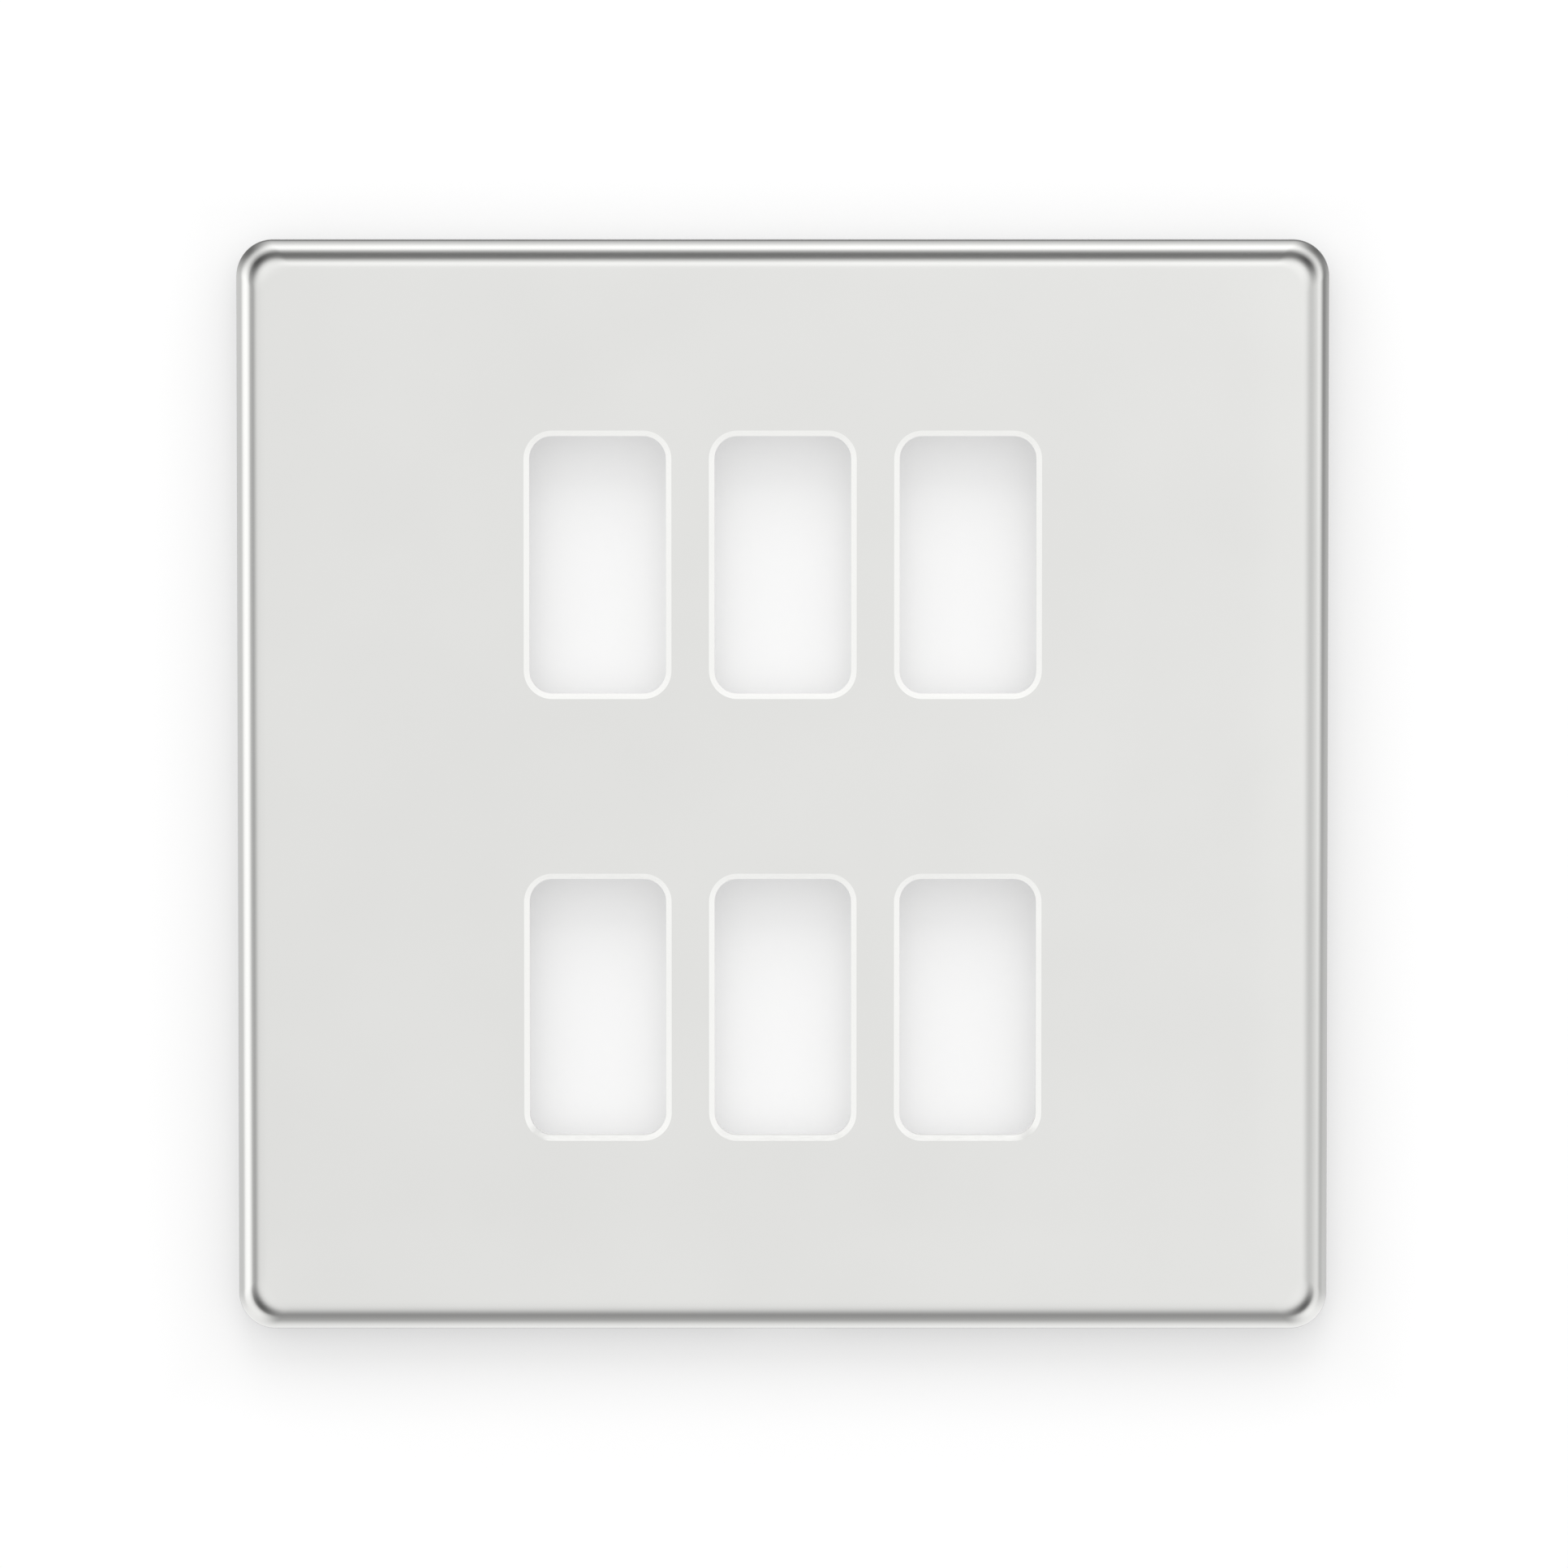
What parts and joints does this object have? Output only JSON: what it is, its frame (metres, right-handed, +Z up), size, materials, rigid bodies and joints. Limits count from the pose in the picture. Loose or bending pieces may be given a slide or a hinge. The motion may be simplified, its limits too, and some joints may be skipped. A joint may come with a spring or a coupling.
{
  "type": "grid switch plate",
  "caption": "Square polished chrome grid switch plate with open bevelled windows; it clips over steel grid frames that screw to a wall box and take switch modules.",
  "frame": {"origin": "centre of the wall plane behind the plate, midway between the four fixing screws", "axes": "+X to the right and +Z up as it hangs on the wall; the wall is the plane Y = 0 and the plate's front faces -Y"},
  "size_m": [0.149, 0.0313, 0.149],
  "materials": {
    "chrome_plate": "polished chrome on pressed steel",
    "carrier_moulding": "fine moulded texture",
    "zinc_frame": "zinc-plated sheet",
    "zinc_screw": "zinc-plated, bright",
    "spring_steel": "bright spring strip",
    "steel_rivet": "plain steel",
    "contact_bronze": "phosphor bronze strip",
    "brass_screw": "turned brass",
    "brass_clamp": "pressed brass"
  },
  "bodies": {
    "wall_frame": {"upper_grid_frame": "zinc_frame", "lower_grid_frame": "zinc_frame", "box_screws": "zinc_screw", "upper_left_high_clip": "spring_steel", "upper_left_low_clip": "spring_steel", "upper_right_high_clip": "spring_steel", "upper_right_low_clip": "spring_steel", "lower_left_high_clip": "spring_steel", "lower_left_low_clip": "spring_steel", "lower_right_high_clip": "spring_steel", "lower_right_low_clip": "spring_steel", "upper_clip_rivets": "steel_rivet", "lower_clip_rivets": "steel_rivet", "upper_earth_spring": "contact_bronze", "lower_earth_spring": "contact_bronze", "upper_earth_screw": "brass_screw", "lower_earth_screw": "brass_screw", "upper_earth_clamp": "brass_clamp", "lower_earth_clamp": "brass_clamp"},
    "cover": {"front_plate": "chrome_plate", "clip_carrier": "carrier_moulding"}
  },
  "joints": [
    {"name": "cover_pull", "type": "slide", "parent": "wall_frame", "child": "cover", "axis": [0, -1, 0], "range_m": [0, 0.025], "deforming": ["upper_left_high_clip", "upper_left_low_clip", "upper_right_high_clip", "upper_right_low_clip", "lower_left_high_clip", "lower_left_low_clip", "lower_right_high_clip", "lower_right_low_clip", "upper_earth_spring", "lower_earth_spring"]}
  ]
}
